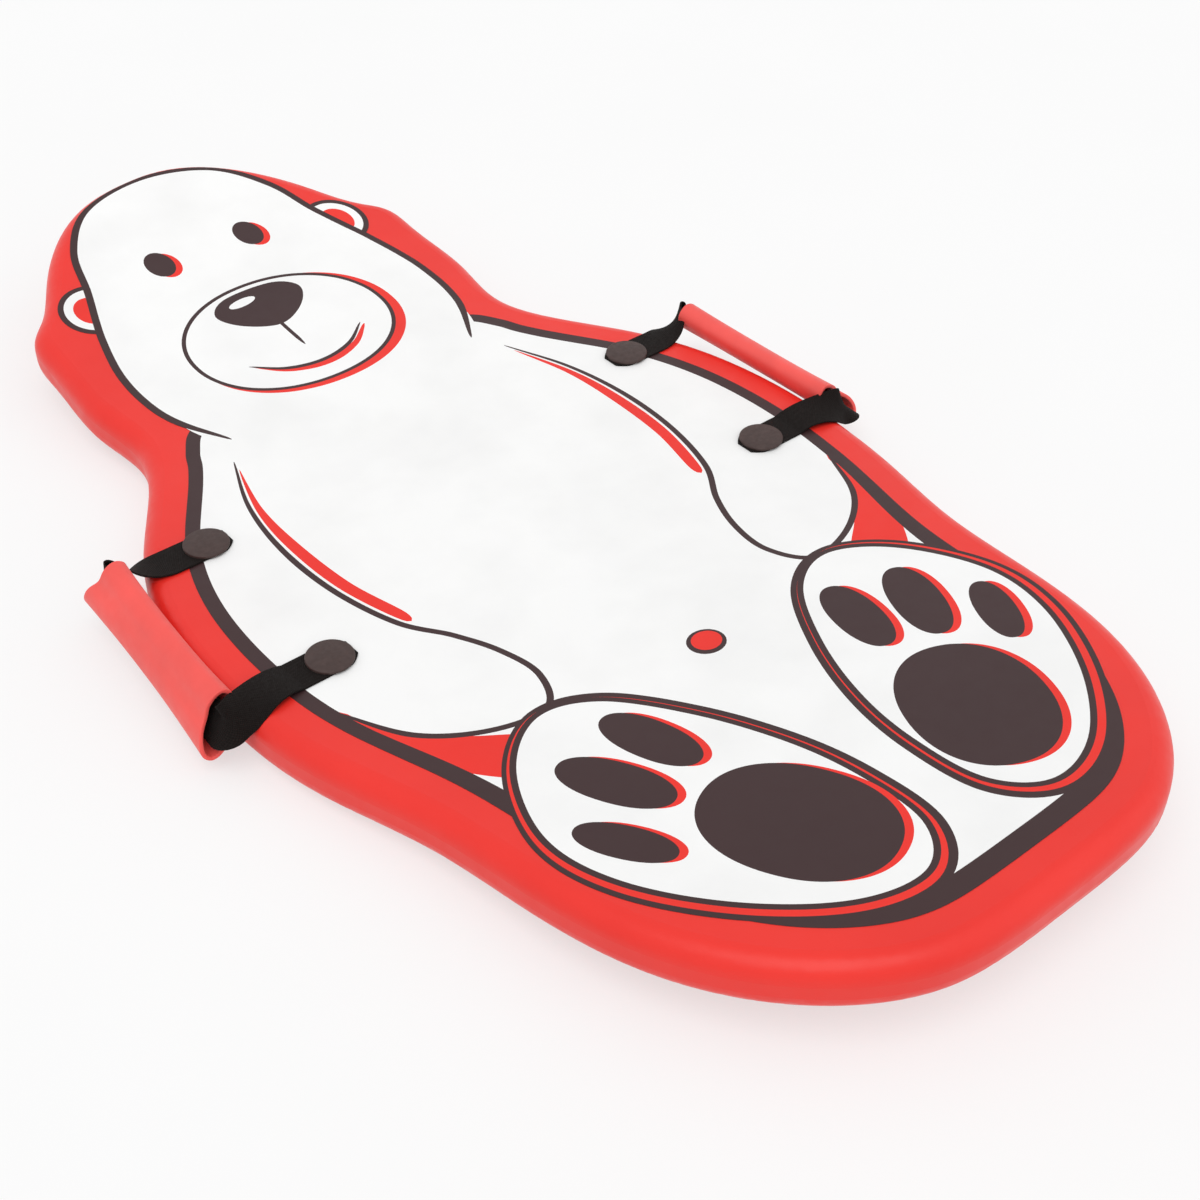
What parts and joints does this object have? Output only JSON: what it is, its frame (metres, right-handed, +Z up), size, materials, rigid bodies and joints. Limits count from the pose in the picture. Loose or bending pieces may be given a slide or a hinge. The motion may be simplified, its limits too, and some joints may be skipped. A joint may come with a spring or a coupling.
{
  "type": "foam bodyboard",
  "caption": "Foam bodyboard with a rounded head-and-shoulders outline, curved-up ends, printed deck, slick bottom and two hinged webbing handles with foam grips.",
  "frame": {"origin": "under the middle of the board, on the plane that the flat part of the slick rests on", "axes": "+X the rider's right, +Y towards the nose, +Z up from the deck"},
  "size_m": [0.6862, 1.2193, 0.1061],
  "materials": {
    "core_foam": "closed-cell polyethylene foam",
    "red_skin": "semi-gloss skinned foam",
    "slick_plastic": "smooth slick sheet",
    "print_film": "printed film, satin",
    "disc_plastic": "fine matte moulded nylon",
    "screw_steel": "stainless",
    "webbing": "woven polypropylene",
    "sleeve_foam": "soft skinned foam"
  },
  "bodies": {
    "root": {"foam_core": "core_foam", "deck_skin": "red_skin", "slick_skin": "slick_plastic", "deck_print_film": "print_film", "left_front_top_disc": "disc_plastic", "left_front_bottom_disc": "disc_plastic", "left_front_anchor_screw": "screw_steel", "left_front_strap_tab": "webbing", "left_rear_top_disc": "disc_plastic", "left_rear_bottom_disc": "disc_plastic", "left_rear_anchor_screw": "screw_steel", "left_rear_strap_tab": "webbing", "right_front_top_disc": "disc_plastic", "right_front_bottom_disc": "disc_plastic", "right_front_anchor_screw": "screw_steel", "right_front_strap_tab": "webbing", "right_rear_top_disc": "disc_plastic", "right_rear_bottom_disc": "disc_plastic", "right_rear_anchor_screw": "screw_steel", "right_rear_strap_tab": "webbing"},
    "left_handle": {"left_handle_webbing": "webbing"},
    "left_grip": {"left_grip_sleeve": "sleeve_foam"},
    "right_handle": {"right_handle_webbing": "webbing"},
    "right_grip": {"right_grip_sleeve": "sleeve_foam"}
  },
  "joints": [
    {"name": "left_handle_swing", "type": "hinge", "parent": "root", "child": "left_handle", "pos_m": [-0.2498, 0, 0.0454], "axis": [0, 1, 0], "range_deg": [0, 120]},
    {"name": "left_grip_slide", "type": "slide", "parent": "left_handle", "child": "left_grip", "axis": [0.0644, 0.9967, 0.0504], "range_m": [-0.002, 0.002]},
    {"name": "right_handle_swing", "type": "hinge", "parent": "root", "child": "right_handle", "pos_m": [0.2498, 0, 0.0454], "axis": [0, -1, 0], "range_deg": [0, 120]},
    {"name": "right_grip_slide", "type": "slide", "parent": "right_handle", "child": "right_grip", "axis": [-0.0644, 0.9967, 0.0504], "range_m": [-0.002, 0.002]}
  ]
}
